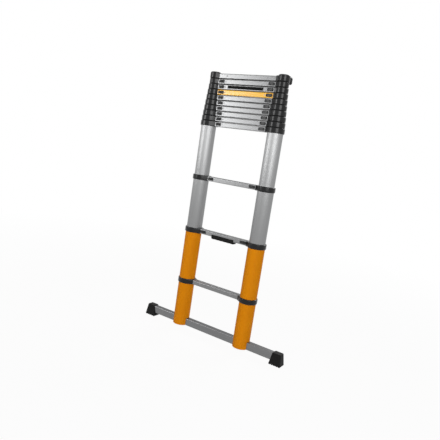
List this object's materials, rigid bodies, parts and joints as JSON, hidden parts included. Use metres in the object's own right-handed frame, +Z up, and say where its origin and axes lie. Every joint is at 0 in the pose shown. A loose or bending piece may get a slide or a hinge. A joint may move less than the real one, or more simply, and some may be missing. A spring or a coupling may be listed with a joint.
{
  "type": "telescopic ladder",
  "caption": "Upright telescopic ladder of nested round stile tubes with rungs on lock collars, sprung release levers and a rubber-footed stabiliser bar, partly drawn out.",
  "frame": {"origin": "on the floor, midway between the two feet", "axes": "+X along the rungs to the ladder's right as the climber faces it, +Y from the climber to the wall, +Z up along the stiles"},
  "size_m": [0.908, 0.111, 1.4374],
  "materials": {
    "orange_paint": "satin orange paint on aluminium",
    "bare_aluminium": "drawn tube and extrusion, clear anodised, fine lengthwise lines",
    "black_plastic": "moulded glass-filled plastic, fine texture",
    "black_rubber": "dull moulded rubber",
    "black_gloss": "smooth bare plate",
    "zinc_steel": "zinc-plated bolt"
  },
  "bodies": {
    "base": {"base_stile_left": "orange_paint", "base_stile_right": "orange_paint", "rung_01": "bare_aluminium", "rung_01_clamps": "black_plastic", "rung_02": "bare_aluminium", "collars_02": "black_plastic", "carry_grip": "black_rubber", "stabiliser_bar": "bare_aluminium", "bar_inserts": "black_plastic", "bar_bolts": "zinc_steel", "foot_left": "black_rubber", "foot_right": "black_rubber"},
    "section_03": {"section_03_tubes_and_rung": "bare_aluminium", "collars_03": "black_plastic"},
    "section_04": {"section_04_tubes_and_rung": "bare_aluminium", "collars_04": "black_plastic"},
    "section_05": {"section_05_tubes_and_rung": "bare_aluminium", "collars_05": "black_plastic"},
    "section_06": {"section_06_tubes_and_rung": "bare_aluminium", "collars_06": "black_plastic"},
    "section_07": {"section_07_tubes_and_rung": "bare_aluminium", "collars_07": "black_plastic"},
    "section_08": {"section_08_tubes_and_rung": "bare_aluminium", "collars_08": "black_plastic"},
    "section_09": {"section_09_tubes_and_rung": "bare_aluminium", "collars_09": "black_plastic"},
    "section_10": {"section_10_tubes": "bare_aluminium", "rung_10": "orange_paint", "collars_10": "black_plastic"},
    "section_11": {"section_11_tubes_and_rung": "bare_aluminium", "collars_11": "black_plastic", "rung_11_plate": "black_gloss"},
    "section_12": {"section_12_tubes_and_rung": "bare_aluminium", "collars_12": "black_plastic"},
    "section_13": {"section_13_tubes_and_rung": "bare_aluminium", "top_caps": "black_plastic", "wall_pads": "black_rubber"},
    "lever_02_left": {"lever_02_left": "black_plastic"},
    "lever_02_right": {"lever_02_right": "black_plastic"},
    "lever_03_left": {"lever_03_left": "black_plastic"},
    "lever_03_right": {"lever_03_right": "black_plastic"},
    "lever_04_left": {"lever_04_left": "black_plastic"},
    "lever_04_right": {"lever_04_right": "black_plastic"},
    "lever_05_left": {"lever_05_left": "black_plastic"},
    "lever_05_right": {"lever_05_right": "black_plastic"},
    "lever_06_left": {"lever_06_left": "black_plastic"},
    "lever_06_right": {"lever_06_right": "black_plastic"},
    "lever_07_left": {"lever_07_left": "black_plastic"},
    "lever_07_right": {"lever_07_right": "black_plastic"},
    "lever_08_left": {"lever_08_left": "black_plastic"},
    "lever_08_right": {"lever_08_right": "black_plastic"},
    "lever_09_left": {"lever_09_left": "black_plastic"},
    "lever_09_right": {"lever_09_right": "black_plastic"},
    "lever_10_left": {"lever_10_left": "black_plastic"},
    "lever_10_right": {"lever_10_right": "black_plastic"},
    "lever_11_left": {"lever_11_left": "black_plastic"},
    "lever_11_right": {"lever_11_right": "black_plastic"},
    "lever_12_left": {"lever_12_left": "black_plastic"},
    "lever_12_right": {"lever_12_right": "black_plastic"}
  },
  "joints": [
    {"name": "section_03_slide", "type": "slide", "parent": "base", "child": "section_03", "axis": [0, 0, 1], "range_m": [-0.267, 0]},
    {"name": "section_04_slide", "type": "slide", "parent": "section_03", "child": "section_04", "axis": [0, 0, 1], "range_m": [-0.267, 0]},
    {"name": "section_05_slide", "type": "slide", "parent": "section_04", "child": "section_05", "axis": [0, 0, 1], "range_m": [0, 0.267]},
    {"name": "section_06_slide", "type": "slide", "parent": "section_05", "child": "section_06", "axis": [0, 0, 1], "range_m": [0, 0.267]},
    {"name": "section_07_slide", "type": "slide", "parent": "section_06", "child": "section_07", "axis": [0, 0, 1], "range_m": [0, 0.267]},
    {"name": "section_08_slide", "type": "slide", "parent": "section_07", "child": "section_08", "axis": [0, 0, 1], "range_m": [0, 0.267]},
    {"name": "section_09_slide", "type": "slide", "parent": "section_08", "child": "section_09", "axis": [0, 0, 1], "range_m": [0, 0.267]},
    {"name": "section_10_slide", "type": "slide", "parent": "section_09", "child": "section_10", "axis": [0, 0, 1], "range_m": [0, 0.267]},
    {"name": "section_11_slide", "type": "slide", "parent": "section_10", "child": "section_11", "axis": [0, 0, 1], "range_m": [0, 0.267]},
    {"name": "section_12_slide", "type": "slide", "parent": "section_11", "child": "section_12", "axis": [0, 0, 1], "range_m": [0, 0.267]},
    {"name": "section_13_slide", "type": "slide", "parent": "section_12", "child": "section_13", "axis": [0, 0, 1], "range_m": [0, 0.267]},
    {"name": "lever_02_left_slide", "type": "slide", "parent": "base", "child": "lever_02_left", "axis": [1, 0, 0], "range_m": [0, 0.009], "stiffness_N_per_m": 300, "springref_m": -0.012},
    {"name": "lever_02_right_slide", "type": "slide", "parent": "base", "child": "lever_02_right", "axis": [-1, 0, 0], "range_m": [0, 0.009], "stiffness_N_per_m": 300, "springref_m": -0.012},
    {"name": "lever_03_left_slide", "type": "slide", "parent": "section_03", "child": "lever_03_left", "axis": [1, 0, 0], "range_m": [0, 0.009], "stiffness_N_per_m": 300, "springref_m": -0.012},
    {"name": "lever_03_right_slide", "type": "slide", "parent": "section_03", "child": "lever_03_right", "axis": [-1, 0, 0], "range_m": [0, 0.009], "stiffness_N_per_m": 300, "springref_m": -0.012},
    {"name": "lever_04_left_slide", "type": "slide", "parent": "section_04", "child": "lever_04_left", "axis": [1, 0, 0], "range_m": [0, 0.009], "stiffness_N_per_m": 300, "springref_m": -0.012},
    {"name": "lever_04_right_slide", "type": "slide", "parent": "section_04", "child": "lever_04_right", "axis": [-1, 0, 0], "range_m": [0, 0.009], "stiffness_N_per_m": 300, "springref_m": -0.012},
    {"name": "lever_05_left_slide", "type": "slide", "parent": "section_05", "child": "lever_05_left", "axis": [1, 0, 0], "range_m": [0, 0.009], "stiffness_N_per_m": 300, "springref_m": -0.012},
    {"name": "lever_05_right_slide", "type": "slide", "parent": "section_05", "child": "lever_05_right", "axis": [-1, 0, 0], "range_m": [0, 0.009], "stiffness_N_per_m": 300, "springref_m": -0.012},
    {"name": "lever_06_left_slide", "type": "slide", "parent": "section_06", "child": "lever_06_left", "axis": [1, 0, 0], "range_m": [0, 0.009], "stiffness_N_per_m": 300, "springref_m": -0.012},
    {"name": "lever_06_right_slide", "type": "slide", "parent": "section_06", "child": "lever_06_right", "axis": [-1, 0, 0], "range_m": [0, 0.009], "stiffness_N_per_m": 300, "springref_m": -0.012},
    {"name": "lever_07_left_slide", "type": "slide", "parent": "section_07", "child": "lever_07_left", "axis": [1, 0, 0], "range_m": [0, 0.009], "stiffness_N_per_m": 300, "springref_m": -0.012},
    {"name": "lever_07_right_slide", "type": "slide", "parent": "section_07", "child": "lever_07_right", "axis": [-1, 0, 0], "range_m": [0, 0.009], "stiffness_N_per_m": 300, "springref_m": -0.012},
    {"name": "lever_08_left_slide", "type": "slide", "parent": "section_08", "child": "lever_08_left", "axis": [1, 0, 0], "range_m": [0, 0.009], "stiffness_N_per_m": 300, "springref_m": -0.012},
    {"name": "lever_08_right_slide", "type": "slide", "parent": "section_08", "child": "lever_08_right", "axis": [-1, 0, 0], "range_m": [0, 0.009], "stiffness_N_per_m": 300, "springref_m": -0.012},
    {"name": "lever_09_left_slide", "type": "slide", "parent": "section_09", "child": "lever_09_left", "axis": [1, 0, 0], "range_m": [0, 0.009], "stiffness_N_per_m": 300, "springref_m": -0.012},
    {"name": "lever_09_right_slide", "type": "slide", "parent": "section_09", "child": "lever_09_right", "axis": [-1, 0, 0], "range_m": [0, 0.009], "stiffness_N_per_m": 300, "springref_m": -0.012},
    {"name": "lever_10_left_slide", "type": "slide", "parent": "section_10", "child": "lever_10_left", "axis": [1, 0, 0], "range_m": [0, 0.009], "stiffness_N_per_m": 300, "springref_m": -0.012},
    {"name": "lever_10_right_slide", "type": "slide", "parent": "section_10", "child": "lever_10_right", "axis": [-1, 0, 0], "range_m": [0, 0.009], "stiffness_N_per_m": 300, "springref_m": -0.012},
    {"name": "lever_11_left_slide", "type": "slide", "parent": "section_11", "child": "lever_11_left", "axis": [1, 0, 0], "range_m": [0, 0.009], "stiffness_N_per_m": 300, "springref_m": -0.012},
    {"name": "lever_11_right_slide", "type": "slide", "parent": "section_11", "child": "lever_11_right", "axis": [-1, 0, 0], "range_m": [0, 0.009], "stiffness_N_per_m": 300, "springref_m": -0.012},
    {"name": "lever_12_left_slide", "type": "slide", "parent": "section_12", "child": "lever_12_left", "axis": [1, 0, 0], "range_m": [0, 0.009], "stiffness_N_per_m": 300, "springref_m": -0.012},
    {"name": "lever_12_right_slide", "type": "slide", "parent": "section_12", "child": "lever_12_right", "axis": [-1, 0, 0], "range_m": [0, 0.009], "stiffness_N_per_m": 300, "springref_m": -0.012}
  ]
}
